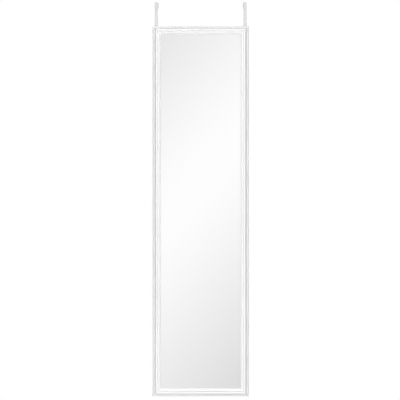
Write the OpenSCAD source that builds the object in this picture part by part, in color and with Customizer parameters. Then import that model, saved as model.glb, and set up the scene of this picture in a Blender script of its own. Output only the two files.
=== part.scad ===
// A tall framed mirror that hangs on a door from two flat metal hooks.
// Frame of reference: +Z up, the mirror faces -Y, the door's front face is the
// plane y = 0 and the door's top edge is the plane z = 0, midway between the hooks.

/* [Door] */
// Thickest door that the hooks reach over
door_t = 40; // [34:1:46]

/* [Frame] */
// Width of the frame, outside to outside
frame_w = 325; // [280:5:500]
// Height of the frame, outside to outside
frame_h = 1250; // [900:10:1500]
// How far the frame's back stands off the door's face
standoff = 5; // [4.8:0.1:8]

/* [Moulding] */
// Face width of the moulding, from its outer side to the sight edge
moulding_w = 28; // [27:0.5:34]
// Thickness of the moulding, from its back to its highest bead
moulding_t = 17; // [16.6:0.1:20]
// Height of the outer side, up to the splay that rises to the ridge
edge_h = 4.6; // [3.6:0.1:6]
// Distance from the outer side to the ridge's crest
ridge_inset = 5; // [4.4:0.1:5.8]
// Width of the ridge's round top
ridge_w = 1.2; // [1:0.1:1.8]
// How far the ridge's round top rises above its shoulders
ridge_rise = 0.3; // [0.2:0.1:0.4]
// Height of the ridge's crest above the back
ridge_h = 8.6; // [8.2:0.1:9.6]
// Thickness of wood under the bottom of the valley between the ridge and the long splay
valley_floor = 7; // [6.6:0.1:7.6]
// Width of the outer bead, at the top of the long splay
outer_bead_w = 4.2; // [3.6:0.1:4.8]
// Width of the inner bead, beside the slope to the sight edge
inner_bead_w = 3.6; // [3:0.1:4.2]
// How far each bead rises in an arc above its two shoulders
bead_rise = 0.3; // [0.2:0.1:0.9]
// How far the shoulders of the ridge and the beads stand above the slopes beside them
shoulder_step = 0.2; // [0.1:0.1:0.4]
// How much lower the inner bead's crest is than the outer bead's
inner_bead_drop = 0.4; // [0:0.1:1]
// Width of the V groove between the two beads
quirk_w = 2.4; // [1.6:0.1:3]
// Depth of the V groove below the outer bead's crest
quirk_depth = 3.4; // [2.4:0.1:4]
// Width of the slope that falls from the inner bead to the sight edge
fall_w = 5.4; // [4.8:0.1:6]
// Thickness of the lip at the sight edge
lip_t = 2; // [1.4:0.1:2.8]
// Width of the lip in front of the glass
rebate_w = 8; // [6:0.5:10]
// Depth of the rebate, from the moulding's back to the lip
rebate_depth = 9.6; // [9:0.1:10.2]

/* [Filling] */
// Thickness of the silvered glass
glass_t = 3; // [2:0.5:3]
// Thickness of the foam sheet behind the glass
foam_t = 1; // [0.5:0.1:1.4]
// Thickness of the hardboard back
board_t = 2.5; // [2:0.1:2.8]
// Room between the sheets and the rebate's wall
sheet_gap = 1; // [0.5:0.1:2]

/* [Framing points] */
// Thickness of a framing point
point_t = 0.5; // [0.3:0.1:0.6]
// Width of a framing point
point_w = 6; // [4:0.5:9]
// Length of a framing point that lies on the board
point_reach = 10; // [6:0.5:14]
// Length of a framing point that is pushed into the wood
point_bite = 4; // [3:0.5:4.5]
// Length of the taper that starts the point in the wood
point_taper = 2.5; // [1:0.1:2.8]
// Number of framing points along each stile
stile_points = 5; // [3:1:8]
// Number of framing points along each rail
rail_points = 2; // [1:1:3]
// Distance from the frame's top or bottom to the nearest framing point of a stile
stile_point_margin = 140; // [120:5:200]
// Distance from the frame's side to the nearest framing point of a rail
rail_point_margin = 80; // [60:5:110]

/* [Corner nails] */
// Length of each leg of a V nail
nail_leg = 4.5; // [3:0.1:5]
// Thickness of a V nail's steel
nail_t = 0.5; // [0.3:0.1:0.8]
// How deep a V nail reaches below its top edge
nail_depth = 5; // [3:0.5:6]
// How far a V nail is sunk below the frame's back
nail_sink = 0.4; // [0.2:0.1:0.8]
// Distance from the frame's outer sides to the outer V nail
nail_outer = 4; // [3:0.5:4.5]
// Distance along each side between the two V nails of a corner
nail_pitch = 8; // [6:0.5:8.5]

/* [Hooks] */
// Width of a hook's strap
strap_w = 11; // [10:0.5:13]
// Thickness of a hook's steel
strap_t = 1.5; // [1:0.1:1.6]
// Distance from the frame's outer side to the middle of a strap
hook_inset = 12.5; // [9:0.5:12.5]
// Height of a hook's top above the frame's top, with the slot centred on its screws
hook_rise = 82; // [70:1:110]
// How far the short leg reaches down from the hook's top
leg_drop = 14; // [12:1:40]
// Inner radius of a hook's bends
bend_r = 1.5; // [1:0.1:2.5]
// Corner radius of a strap's two ends
strap_end_r = 3; // [1:0.5:4.5]
// How far a hook can be moved in all, from one end of its slot to the other
hook_travel = 30; // [10:1:32]
// Width of the slot in a strap
slot_w = 4; // [3.8:0.1:5]
// Distance from the frame's top down to the slot, with the slot centred on its screws
slot_cover = 20; // [18:1:30]
// Metal left between the slot and the strap's lower end
slot_end = 8; // [5:0.5:14]

/* [Hook screws and washers] */
// Distance between the two screws of a hook
screw_spacing = 30; // [20:1:40]
// Diameter of a screw's shank
screw_d = 3.5; // [3:0.1:3.6]
// Length of a screw below its head
screw_len = 10.5; // [8:0.5:11]
// Length of a screw's tapered tip
tip_len = 2.5; // [1.5:0.5:4]
// Radius at the end of a screw's tip
tip_r = 0.3; // [0.1:0.1:0.6]
// Diameter of a screw's pan head
head_d = 6.8; // [6:0.2:8]
// Height of a screw's pan head
head_h = 1.9; // [1.4:0.1:2.2]
// Radius that rounds the rim of a pan head
head_round = 0.9; // [0.5:0.1:1.2]
// Length of each arm of the cross recess, tip to tip
recess_len = 3.8; // [3:0.1:4.4]
// Width of each arm of the cross recess
recess_w = 0.8; // [0.6:0.1:1]
// Depth of the cross recess
recess_depth = 1.1; // [0.8:0.1:1.2]
// Outer diameter of a washer
washer_d = 9; // [8.5:0.5:10]
// Thickness of a washer
washer_t = 0.8; // [0.5:0.1:1]

/* [Pads and bumpers] */
// Thickness of the felt under a hook's saddle
saddle_pad_t = 1; // [0.5:0.1:2]
// Thickness of the felt on the short leg
leg_pad_t = 2; // [1:0.1:3]
// How far a pad stops short of each side of the strap
pad_inset = 0.5; // [0.3:0.1:1]
// How far a pad stops short of a bend or an end
pad_margin = 2; // [1:0.1:3]
// Length of the foam block behind a strap
strap_pad_len = 30; // [15:1:45]
// Corner radius of the foam block
strap_pad_r = 2; // [1:0.5:4]
// Diameter of a bumper
bumper_d = 12; // [8:1:14]
// Radius that rounds the rim of a bumper
bumper_round = 1.5; // [0.5:0.1:2.5]
// Distance from the frame's bottom to the middle of a bumper
bumper_height = 36; // [30:1:100]

/* [Fits] */
// Gap between a strap and what it slides on
slide_gap = 0.1; // [0.05:0.05:0.2]
// Gap between a screw and each end of its slot, with the hook at the end of its travel
slot_end_gap = 0.3; // [0.2:0.1:0.6]
// Gap around a screw in the washer's hole
washer_gap = 0.15; // [0.1:0.05:0.3]
// Gap around a nail, point or screw in the wood
wood_gap = 0.03; // [0.02:0.01:0.05]

/* [Hidden] */
$fn = 64;

white_paint = [0.93, 0.93, 0.92];
hook_paint = [0.80, 0.81, 0.81];
silvering = [0.86, 0.89, 0.90];
hardboard = [0.45, 0.31, 0.20];
foam_white = [0.90, 0.90, 0.88];
pale_felt = [0.80, 0.80, 0.78];
bright_steel = [0.72, 0.73, 0.75];
clear_rubber = [0.82, 0.83, 0.83];

// Past the face of what is cut, so that no skin is left
over = 1;

// Heights, down from the door's top edge
saddle_top_z = saddle_pad_t + strap_t;
frame_top_z = saddle_top_z - hook_rise;
frame_mid_z = frame_top_z - frame_h / 2;
slot_len = screw_spacing + hook_travel + screw_d + 2 * slot_end_gap;
slot_mid_z = frame_top_z - slot_cover - slot_len / 2;
strap_low_z = slot_mid_z - slot_len / 2 - slot_end;
leg_low_z = saddle_top_z - leg_drop;

// Depths, back from the door's front face
frame_back_y = -standoff;
strap_front_y = frame_back_y + slide_gap;
strap_rear_y = strap_front_y + strap_t;
washer_y = strap_rear_y + slide_gap;
head_y = washer_y + washer_t;
leg_front_y = door_t + leg_pad_t;
leg_rear_y = leg_front_y + strap_t;

hook_x = frame_w / 2 - hook_inset;
rebate_u = moulding_w - rebate_w;

// The sheets are stacked from the lip backwards
glass_back = rebate_depth - glass_t;
foam_back = glass_back - foam_t;
board_back = foam_back - board_t;

function spread(count, span) =
    [for (i = [0 : count - 1]) count == 1 ? 0 : span * (i / (count - 1) - 0.5)];

// ---------------------------------------------------------------- the moulding

// The round top of a bead that starts at x = u, with upright sides that reach down into the wood
module bead_top(u, w, crest, rise) {
    r = (w * w / 4 + rise * rise) / (2 * rise);
    low = crest - rise - 2 * shoulder_step;
    intersection() {
        translate([u + w / 2, crest - r]) circle(r);
        translate([u, low]) square([w, crest + over - low]);
    }
}

// Section of the moulding: x runs from the outer side to the sight edge, y from the back to the front
module moulding_section() {
    inner_u = moulding_w - fall_w - inner_bead_w;
    outer_u = inner_u - quirk_w - outer_bead_w;
    ridge_u = ridge_inset - ridge_w / 2;
    ridge_v = ridge_h - ridge_rise - shoulder_step;
    outer_v = moulding_t - bead_rise - shoulder_step;
    inner_v = outer_v - inner_bead_drop;
    polygon([
        [0, 0],
        [rebate_u, 0],
        [rebate_u, rebate_depth],
        [moulding_w, rebate_depth],
        [moulding_w, rebate_depth + lip_t],
        [inner_u + inner_bead_w, inner_v],
        [inner_u, inner_v],
        [inner_u - quirk_w / 2, moulding_t - quirk_depth],
        [outer_u + outer_bead_w, outer_v],
        [outer_u, outer_v],
        [ridge_u + ridge_w + (ridge_v - valley_floor) / 2, valley_floor],
        [ridge_u + ridge_w, ridge_v],
        [ridge_u, ridge_v],
        [0, edge_h],
    ]);
    bead_top(ridge_u, ridge_w, ridge_h, ridge_rise);
    bead_top(outer_u, outer_bead_w, moulding_t, bead_rise);
    bead_top(inner_u, inner_bead_w, moulding_t - inner_bead_drop, bead_rise);
}

// Puts what is drawn for the top side on the side that the angle turns it to
module on_side(angle) {
    translate([0, 0, frame_mid_z]) rotate([0, angle, 0]) children();
}

// A mitred length of moulding along the top of a frame whose middle is the origin
module mitred_length(side_len, half_span) {
    inner_len = side_len - 2 * moulding_w;
    intersection() {
        translate([0, frame_back_y, half_span])
            rotate([180, 90, 0])
                linear_extrude(side_len, center = true) moulding_section();
        translate([0, frame_back_y, half_span])
            rotate([90, 0, 0])
                linear_extrude(moulding_t)
                    polygon([
                        [-side_len / 2, 0],
                        [side_len / 2, 0],
                        [inner_len / 2, -moulding_w],
                        [-inner_len / 2, -moulding_w],
                    ]);
    }
}

// Draws its children, made for the top left corner, in all four corners
module in_corners() {
    for (right = [0, 1], low = [0, 1])
        translate([0, 0, frame_mid_z])
            mirror([right, 0, 0])
                mirror([0, 0, low])
                    translate([-frame_w / 2, frame_back_y, frame_h / 2]) children();
}

// The V nails of one corner; a gap makes the cuts that they are driven into
module corner_nails(gap) {
    for (i = [0, 1]) {
        place = nail_outer + i * nail_pitch;
        translate([place, -nail_sink + gap, -place])
            rotate([90, 0, 0])
                linear_extrude(nail_depth + 2 * gap)
                    polygon([
                        [-gap, gap],
                        [nail_leg + gap, gap],
                        [nail_leg + gap, -nail_t - gap],
                        [nail_t + gap, -nail_t - gap],
                        [nail_t + gap, -nail_leg - gap],
                        [-gap, -nail_leg - gap],
                    ]);
    }
}

// The cuts that let the V nails in from the back
module nail_cuts() {
    in_corners() {
        corner_nails(wood_gap);
        translate([0, nail_sink, 0]) corner_nails(wood_gap);
    }
}

// One framing point, tip outwards, drawn for the top side at the middle of its length
module framing_point(half_span, gap) {
    translate([0, frame_back_y - board_back - gap, half_span - rebate_u])
        rotate([-90, 0, 0])
            linear_extrude(point_t + 2 * gap)
                polygon([
                    [-point_w / 2 - gap, point_reach],
                    [-point_w / 2 - gap, point_taper - point_bite],
                    [0, -point_bite - gap],
                    [point_w / 2 + gap, point_taper - point_bite],
                    [point_w / 2 + gap, point_reach],
                ]);
}

// The framing points along one side of the frame
module side_points(angle, count, span, half_span, gap) {
    on_side(angle)
        for (x = spread(count, span))
            translate([x, 0, 0]) framing_point(half_span, gap);
}

module rail_point_row(angle, gap) {
    side_points(angle, rail_points, frame_w - 2 * rail_point_margin, frame_h / 2, gap);
}

module stile_point_row(angle, gap) {
    side_points(angle, stile_points, frame_h - 2 * stile_point_margin, frame_w / 2, gap);
}

// A rail lies along the top or the bottom
module rail(angle) {
    color(white_paint)
        difference() {
            on_side(angle) mitred_length(frame_w, frame_h / 2);
            nail_cuts();
            rail_point_row(angle, wood_gap);
        }
}

// A stile stands on one side and takes that side's hook screws
module stile(side) {
    color(white_paint)
        difference() {
            on_side(90 * side) mitred_length(frame_h, frame_w / 2);
            nail_cuts();
            stile_point_row(90 * side, wood_gap);
            at_screws(side) screw_shank(wood_gap);
        }
}

module frame_rail_top() {
    rail(0);
}

module frame_rail_bottom() {
    rail(180);
}

module frame_stile_left() {
    stile(-1);
}

module frame_stile_right() {
    stile(1);
}

module corner_v_nails() {
    color(bright_steel) in_corners() corner_nails(0);
}

module framing_points() {
    color(bright_steel) {
        rail_point_row(0, 0);
        rail_point_row(180, 0);
        stile_point_row(-90, 0);
        stile_point_row(90, 0);
    }
}

// ---------------------------------------------------------------- the filling

// A sheet that fills the rebate, from one depth behind the front to another
module rebate_sheet(back, thickness) {
    sheet_w = frame_w - 2 * rebate_u - 2 * sheet_gap;
    sheet_h = frame_h - 2 * rebate_u - 2 * sheet_gap;
    translate([-sheet_w / 2, frame_back_y - back - thickness, frame_mid_z - sheet_h / 2])
        cube([sheet_w, thickness, sheet_h]);
}

module mirror_plate() {
    color(silvering) rebate_sheet(glass_back, glass_t);
}

module foam_liner() {
    color(foam_white) rebate_sheet(foam_back, foam_t);
}

module backing_board() {
    color(hardboard) rebate_sheet(board_back, board_t);
}

// ---------------------------------------------------------------- the hooks

// An upright shape in the y-z plane whose two top corners are round
module arch(y0, y1, low, top, r) {
    translate([y0, low]) square([y1 - y0, top - r - low]);
    translate([y0 + r, low]) square([y1 - y0 - 2 * r, top - low]);
    translate([y0 + r, top - r]) circle(r);
    translate([y1 - r, top - r]) circle(r);
}

// The side of a hook: the strap, the saddle over the door and the short leg
module hook_side() {
    difference() {
        arch(strap_front_y, leg_rear_y, strap_low_z, saddle_top_z, bend_r + strap_t);
        arch(strap_rear_y, leg_front_y, strap_low_z - over, saddle_pad_t, bend_r);
    }
}

// The front of a strap: its two lower corners are round
module strap_front(low) {
    top = saddle_top_z + over;
    translate([-strap_w / 2, low + strap_end_r]) square([strap_w, top - low - strap_end_r]);
    translate([strap_end_r - strap_w / 2, low]) square([strap_w - 2 * strap_end_r, top - low]);
    for (side = [-1, 1])
        translate([side * (strap_w / 2 - strap_end_r), low + strap_end_r]) circle(strap_end_r);
}

// The slot that the two screws pass through
module slot() {
    centres = slot_len - slot_w;
    translate([-slot_w / 2, slot_mid_z - centres / 2]) square([slot_w, centres]);
    for (end = [-1, 1])
        translate([0, slot_mid_z + end * centres / 2]) circle(slot_w / 2);
}

// Stands a shape drawn in x and z upright and gives it depth from y0 to y1
module standing(y0, y1) {
    translate([0, y1, 0]) rotate([90, 0, 0]) linear_extrude(y1 - y0) children();
}

module hook(side) {
    mid_y = (strap_rear_y + leg_front_y) / 2;
    color(hook_paint)
        translate([side * hook_x, 0, 0])
            difference() {
                intersection() {
                    rotate([90, 0, 90]) linear_extrude(strap_w, center = true) hook_side();
                    union() {
                        standing(strap_front_y - over, mid_y) strap_front(strap_low_z);
                        standing(mid_y, leg_rear_y + over) strap_front(leg_low_z);
                    }
                }
                standing(strap_front_y - over, strap_rear_y + over) slot();
            }
}

module hook_left() {
    hook(-1);
}

module hook_right() {
    hook(1);
}

// ---------------------------------------------------------------- screws and washers

// Puts its children, drawn along +z, at both screws of a hook with +z pointing at the door
module at_screws(side) {
    for (end = [-1, 1])
        translate([side * hook_x, head_y, slot_mid_z + end * screw_spacing / 2])
            rotate([-90, 0, 0]) children();
}

// A disc with a rounded rim, standing on z = 0
module rounded_disc(d, h, rim) {
    rotate_extrude() {
        square([d / 2, h - rim]);
        square([d / 2 - rim, h]);
        translate([d / 2 - rim, h - rim]) circle(rim);
    }
}

// The part of a screw below its head; a gap makes its hole
module screw_shank(gap) {
    straight = screw_len - tip_len;
    translate([0, 0, -straight]) cylinder(h = straight, r = screw_d / 2 + gap);
    translate([0, 0, -screw_len - gap])
        cylinder(h = tip_len + gap, r1 = tip_r + gap, r2 = screw_d / 2 + gap);
}

module screw() {
    difference() {
        union() {
            rounded_disc(head_d, head_h, head_round);
            screw_shank(0);
        }
        for (turn = [0, 90])
            rotate([0, 0, turn])
                translate([-recess_len / 2, -recess_w / 2, head_h - recess_depth])
                    cube([recess_len, recess_w, recess_depth + over]);
    }
}

module washer() {
    translate([0, 0, -washer_t])
        difference() {
            cylinder(h = washer_t, r = washer_d / 2);
            translate([0, 0, -over])
                cylinder(h = washer_t + 2 * over, r = screw_d / 2 + washer_gap);
        }
}

module hook_screws_left() {
    color(bright_steel) at_screws(-1) screw();
}

module hook_screws_right() {
    color(bright_steel) at_screws(1) screw();
}

module hook_washers_left() {
    color(bright_steel) at_screws(-1) washer();
}

module hook_washers_right() {
    color(bright_steel) at_screws(1) washer();
}

// ---------------------------------------------------------------- pads and bumpers

pad_w = strap_w - 2 * pad_inset;

// Felt under the saddle, which rests on the door's top edge
module saddle_pad(side) {
    y0 = strap_rear_y + bend_r + pad_margin;
    y1 = leg_front_y - bend_r - pad_margin;
    color(pale_felt)
        translate([side * hook_x - pad_w / 2, y0, 0]) cube([pad_w, y1 - y0, saddle_pad_t]);
}

// Felt on the front of the short leg
module leg_pad(side) {
    low = leg_low_z + pad_margin;
    high = saddle_pad_t - bend_r - pad_margin / 2;
    color(pale_felt)
        translate([side * hook_x - pad_w / 2, door_t, low]) cube([pad_w, leg_pad_t, high - low]);
}

// Foam block that fills the gap between the strap and the door's face
module strap_pad(side) {
    high = saddle_pad_t - bend_r - pad_margin;
    mid = high - strap_pad_len / 2;
    color(foam_white)
        translate([side * hook_x, 0, mid])
            standing(strap_rear_y, 0) {
                square([pad_w, strap_pad_len - 2 * strap_pad_r], center = true);
                square([pad_w - 2 * strap_pad_r, strap_pad_len], center = true);
                for (x = [-1, 1], z = [-1, 1])
                    translate([x * (pad_w / 2 - strap_pad_r), z * (strap_pad_len / 2 - strap_pad_r)])
                        circle(strap_pad_r);
            }
}

// Round bumper between the frame's back and the door
module bumper(side) {
    color(clear_rubber)
        translate([
            side * (frame_w - rebate_u) / 2,
            frame_back_y,
            frame_mid_z - frame_h / 2 + bumper_height,
        ])
            rotate([-90, 0, 0]) rounded_disc(bumper_d, standoff, bumper_round);
}

module saddle_pad_left() {
    saddle_pad(-1);
}

module saddle_pad_right() {
    saddle_pad(1);
}

module leg_pad_left() {
    leg_pad(-1);
}

module leg_pad_right() {
    leg_pad(1);
}

module strap_pad_left() {
    strap_pad(-1);
}

module strap_pad_right() {
    strap_pad(1);
}

module bumper_left() {
    bumper(-1);
}

module bumper_right() {
    bumper(1);
}

frame_rail_top();
frame_rail_bottom();
frame_stile_left();
frame_stile_right();
mirror_plate();
foam_liner();
backing_board();
framing_points();
corner_v_nails();
hook_left();
hook_right();
hook_screws_left();
hook_screws_right();
hook_washers_left();
hook_washers_right();
saddle_pad_left();
saddle_pad_right();
leg_pad_left();
leg_pad_right();
strap_pad_left();
strap_pad_right();
bumper_left();
bumper_right();
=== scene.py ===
# %% [markdown]
# # A tall mirror that hangs on a door
#
# The object is a narrow silvered mirror in a white beaded frame. Two flat metal straps are screwed to
# the back of the frame, rise above it and bend over the top of a door. Each strap has a long slot, so
# it can slide on its two screws, and that sets how high the mirror hangs.
#
# An exact model already says where each piece is, how large it is and what moves. This script dresses
# it. Every piece made here sits where its solid is and rides on that solid's body, so it moves with it.

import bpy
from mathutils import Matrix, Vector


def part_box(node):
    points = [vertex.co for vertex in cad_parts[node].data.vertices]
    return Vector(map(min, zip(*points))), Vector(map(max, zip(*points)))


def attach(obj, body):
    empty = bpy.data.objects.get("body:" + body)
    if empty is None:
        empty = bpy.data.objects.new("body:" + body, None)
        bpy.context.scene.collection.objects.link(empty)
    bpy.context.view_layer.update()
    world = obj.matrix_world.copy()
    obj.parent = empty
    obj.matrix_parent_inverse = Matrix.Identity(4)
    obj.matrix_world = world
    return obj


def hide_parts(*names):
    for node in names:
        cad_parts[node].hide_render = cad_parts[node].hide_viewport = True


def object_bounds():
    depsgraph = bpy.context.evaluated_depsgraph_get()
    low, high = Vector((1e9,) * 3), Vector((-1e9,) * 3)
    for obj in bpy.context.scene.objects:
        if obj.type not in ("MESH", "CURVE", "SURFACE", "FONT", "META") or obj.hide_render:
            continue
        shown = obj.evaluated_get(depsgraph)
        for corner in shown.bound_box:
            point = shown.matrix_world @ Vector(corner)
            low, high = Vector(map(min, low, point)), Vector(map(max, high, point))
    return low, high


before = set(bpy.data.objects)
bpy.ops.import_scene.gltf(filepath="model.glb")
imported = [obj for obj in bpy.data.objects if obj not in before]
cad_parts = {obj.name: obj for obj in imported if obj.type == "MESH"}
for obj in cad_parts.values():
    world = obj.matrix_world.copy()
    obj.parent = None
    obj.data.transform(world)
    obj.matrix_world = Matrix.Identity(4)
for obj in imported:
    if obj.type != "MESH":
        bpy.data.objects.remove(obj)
cad_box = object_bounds()
print("solids:", len(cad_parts))

# %% [markdown]
# ## Measures
#
# The large sizes are read from the solids, so that nothing has to be fitted afterwards. Small ones,
# such as the radius of a bead, are named next to the piece that has them. Lengths are in metres. A
# drawing in millimetres is easier to check against a ruler, so MM turns one into the other.

# %% Read the main sizes
import math

import bmesh
import bpy
from mathutils import Vector

MM = 0.001

rail_low, rail_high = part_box("frame_rail_top")
stile_low, stile_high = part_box("frame_stile_right")
glass_low, glass_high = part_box("mirror_plate")

frame_w = rail_high.x - rail_low.x
frame_h = stile_high.z - stile_low.z
moulding_w = rail_high.z - rail_low.z
moulding_t = rail_high.y - rail_low.y
frame_back = rail_high.y
frame_middle = Vector((0, frame_back, (stile_low.z + stile_high.z) / 2))
print(f"frame {frame_w / MM:.0f} x {frame_h / MM:.0f} mm")
print(f"moulding {moulding_w / MM:.0f} x {moulding_t / MM:.0f} mm")

# %% [markdown]
# ## Nodes written as sums
#
# Both materials and Geometry Nodes are graphs of small nodes, and a formula soon takes twenty of them.
# Wired one by one, they are hard to read. Python can overload its operators instead: a Value wraps one
# output socket, and a sum or product of Values adds the Math nodes that work it out. All other nodes
# come from one method, Graph.add, which sets the node's options first, because they decide which
# sockets the node shows, and then fills or links its inputs.

# %% The Value class
class Value:
    """An output socket. Arithmetic on it adds the Math nodes that work it out."""

    def __init__(self, graph, socket):
        self.graph = graph
        self.socket = socket

    def math(self, operation, *numbers):
        return self.graph.add("ShaderNodeMath", {"operation": operation}, dict(enumerate(numbers)))

    def __add__(self, other):
        return self.math("ADD", self, other)

    def __sub__(self, other):
        return self.math("SUBTRACT", self, other)

    def __rsub__(self, other):
        return self.math("SUBTRACT", other, self)

    def __mul__(self, other):
        return self.math("MULTIPLY", self, other)

    def __truediv__(self, other):
        return self.math("DIVIDE", self, other)

    def __neg__(self):
        return self.math("MULTIPLY", self, -1.0)

    def __gt__(self, other):
        return self.math("GREATER_THAN", self, other)

    __radd__ = __add__
    __rmul__ = __mul__

    def apply(self, operation):
        """One of the Math node's functions of a single number, such as SINE or FLOOR."""
        return self.math(operation, self)

    def at_least(self, low):
        return self.math("MAXIMUM", self, low)

    def at_most(self, high):
        return self.math("MINIMUM", self, high)

    def fade(self, start, end):
        """Runs smoothly from 0 at start to 1 at end, and stays there."""
        smooth = {"interpolation_type": "SMOOTHSTEP"}
        inputs = {"Value": self, "From Min": start, "From Max": end}
        return self.graph.add("ShaderNodeMapRange", smooth, inputs)

    def other(self, name):
        """Another output of the same node."""
        return Value(self.graph, Graph.pick(self.socket.node.outputs, name))


# %% The Graph class
class Graph:
    """A node tree that is being built."""

    def __init__(self, tree):
        tree.nodes.clear()
        self.tree = tree

    @staticmethod
    def pick(sockets, key):
        """A socket by its number, or the first one in use that has that name."""
        if isinstance(key, int):
            return sockets[key]
        return next(socket for socket in sockets if socket.name == key and socket.enabled)

    def add(self, kind, settings=None, inputs=None, out=None):
        """Adds a node and gives one of its outputs: the one named, or the first in use."""
        node = self.tree.nodes.new(kind)
        for name, value in (settings or {}).items():
            setattr(node, name, value)
        for key, given in (inputs or {}).items():
            socket = self.pick(node.inputs, key)
            for value in given if isinstance(given, list) else [given]:
                if isinstance(value, Value):
                    self.tree.links.new(value.socket, socket)
                else:
                    socket.default_value = value
        in_use = [socket for socket in node.outputs if socket.enabled]
        if not in_use:
            return None
        return Value(self, self.pick(node.outputs, out) if out else in_use[0])

    def vector(self, x, y, z):
        return self.add("ShaderNodeCombineXYZ", {}, {"X": x, "Y": y, "Z": z})

    def split(self, vector):
        """The three numbers of a vector."""
        x = self.add("ShaderNodeSeparateXYZ", {}, {"Vector": vector})
        return x, x.other("Y"), x.other("Z")

    def moved(self, place, way, factor):
        """A place moved along a way, by the way's own length times the factor."""
        step = self.add("ShaderNodeVectorMath", {"operation": "SCALE"}, {"Vector": way, "Scale": factor})
        return self.add("ShaderNodeVectorMath", {"operation": "ADD"}, {0: place, 1: step})

    def rotation(self, x, y, z):
        """A rotation by these turns about the axes."""
        return self.add("FunctionNodeEulerToRotation", {}, {"Euler": self.vector(x, y, z)})


print("graph helpers ready")

# %% [markdown]
# ## Finishing a piece
#
# Whatever way a piece is made, it ends as one plain closed mesh whose object sits at the origin,
# unturned and unscaled. Doubles are merged, faces are turned outwards, and faces that meet at a small
# angle are shaded as one smooth surface. Then the piece gets its material, the body that it rides on
# and the solid that it stands for.

# %% Helpers for meshes
def link_mesh(name, points, edges=(), faces=()):
    """A new object with this mesh."""
    mesh = bpy.data.meshes.new(name)
    mesh.from_pydata([tuple(point) for point in points], list(edges), list(faces))
    made = bpy.data.objects.new(name, mesh)
    bpy.context.scene.collection.objects.link(made)
    return made


def keep_result(piece):
    """Turns what the piece's modifiers make into its plain mesh."""
    worked_out = bpy.context.evaluated_depsgraph_get()
    result = bpy.data.meshes.new_from_object(
        piece.evaluated_get(worked_out), preserve_all_data_layers=True, depsgraph=worked_out
    )
    piece.modifiers.clear()
    piece.data = result
    return piece


def clean(piece, weld=0.001 * MM, smooth_angle=35):
    """Merges doubles, turns faces outwards and shades small angles smooth."""
    work = bmesh.new()
    work.from_mesh(piece.data)
    bmesh.ops.remove_doubles(work, verts=work.verts, dist=weld)
    bmesh.ops.recalc_face_normals(work, faces=work.faces)
    open_edges = sum(not edge.is_manifold for edge in work.edges)
    work.to_mesh(piece.data)
    work.free()
    piece.data.shade_smooth()
    piece.data.set_sharp_from_angle(angle=math.radians(smooth_angle))
    print(f"{piece.name}: {len(piece.data.polygons)} faces, {open_edges} open edges")
    return piece


def dress(piece, material, slot, body, *nodes):
    """Gives a finished piece its material, its body and the solids that it stands for."""
    piece.data.materials.clear()
    piece.data.materials.append(material)
    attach(piece, body)
    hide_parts(*nodes)
    return piece


# %% [markdown]
# Pieces that repeat or follow a rule come from Geometry Nodes. A tree has named inputs for its sizes, so
# that one tree can make several pieces. A modifier keeps those values under each socket's identifier, not
# its name, which is why run_tree looks every input up. The result is kept as a plain mesh, because an
# exporter would drop instances and a live modifier would be worked out again and again.

# %% Helpers for Geometry Nodes
def new_tree(name, inputs):
    """A tree with a Geometry input and output and the named inputs; gives its graph and its first input."""
    tree = bpy.data.node_groups.new(name, "GeometryNodeTree")
    tree.interface.new_socket("Geometry", in_out="INPUT", socket_type="NodeSocketGeometry")
    for label, kind in {**inputs, "Material": "Material"}.items():
        tree.interface.new_socket(label, in_out="INPUT", socket_type="NodeSocket" + kind)
    tree.interface.new_socket("Geometry", in_out="OUTPUT", socket_type="NodeSocketGeometry")
    graph = Graph(tree)
    return graph, graph.add("NodeGroupInput")


def end_tree(graph, geometry, given):
    """Ends a tree with real geometry that has its material."""
    real = graph.add("GeometryNodeRealizeInstances", {}, {"Geometry": geometry})
    material = given.other("Material")
    painted = graph.add("GeometryNodeSetMaterial", {}, {"Geometry": real, "Material": material})
    graph.add("NodeGroupOutput", {}, {"Geometry": painted})
    return graph.tree


def run_tree(piece, tree, values):
    """Runs a tree on a drawn mesh, with its inputs set by name, and keeps the result."""
    modifier = piece.modifiers.new("shape", "NODES")
    modifier.node_group = tree
    for item in tree.interface.items_tree:
        if item.in_out == "INPUT" and item.name in values:
            modifier[item.identifier] = values[item.name]
    return keep_result(piece)


print("mesh helpers ready")

# %% [markdown]
# ## Materials
#
# A material is built from the piece's own Object coordinates, in metres, so a grain of 1 mm is 1 mm on
# every piece. Noise is given as a grain size rather than a scale, and may be stretched along one axis.
# Relief is added up in millimetres and goes through one Bump node.

# %% Helpers for materials
def new_material(name):
    made = bpy.data.materials.new(name)
    made.use_nodes = True
    return made, Graph(made.node_tree)


def own_place(graph):
    return graph.add("ShaderNodeTexCoord", out="Object")


def stretched_place(graph, stretch, shift):
    inputs = {"Vector": own_place(graph), "Location": shift, "Scale": tuple(1 / part for part in stretch)}
    return graph.add("ShaderNodeMapping", {}, inputs)


def grain(graph, size, stretch=(1, 1, 1), detail=2.0, shift=(0, 0, 0)):
    """Noise from 0 to 1 whose spots are about size across; stretch makes them longer along an axis."""
    inputs = {"Vector": stretched_place(graph, stretch, shift), "Scale": 1 / size, "Detail": detail}
    return graph.add("ShaderNodeTexNoise", {}, inputs, "Fac")


def cells(graph, size, out="Distance"):
    """A cell pattern whose cells are about size across."""
    return graph.add("ShaderNodeTexVoronoi", {}, {"Vector": own_place(graph), "Scale": 1 / size}, out)


def mixed(graph, factor, first, second):
    """A colour between two others."""
    return graph.add(
        "ShaderNodeMix", {"data_type": "RGBA"}, {"Factor": factor, "A": first, "B": second}, "Result"
    )


def attribute(graph, name):
    """A number that the mesh holds at its points."""
    return graph.add("ShaderNodeAttribute", {"attribute_name": name}, {}, "Fac")


def relief(graph, height_mm):
    """A surface normal for a relief given in millimetres."""
    return graph.add("ShaderNodeBump", {}, {"Height": height_mm, "Distance": MM})


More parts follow.
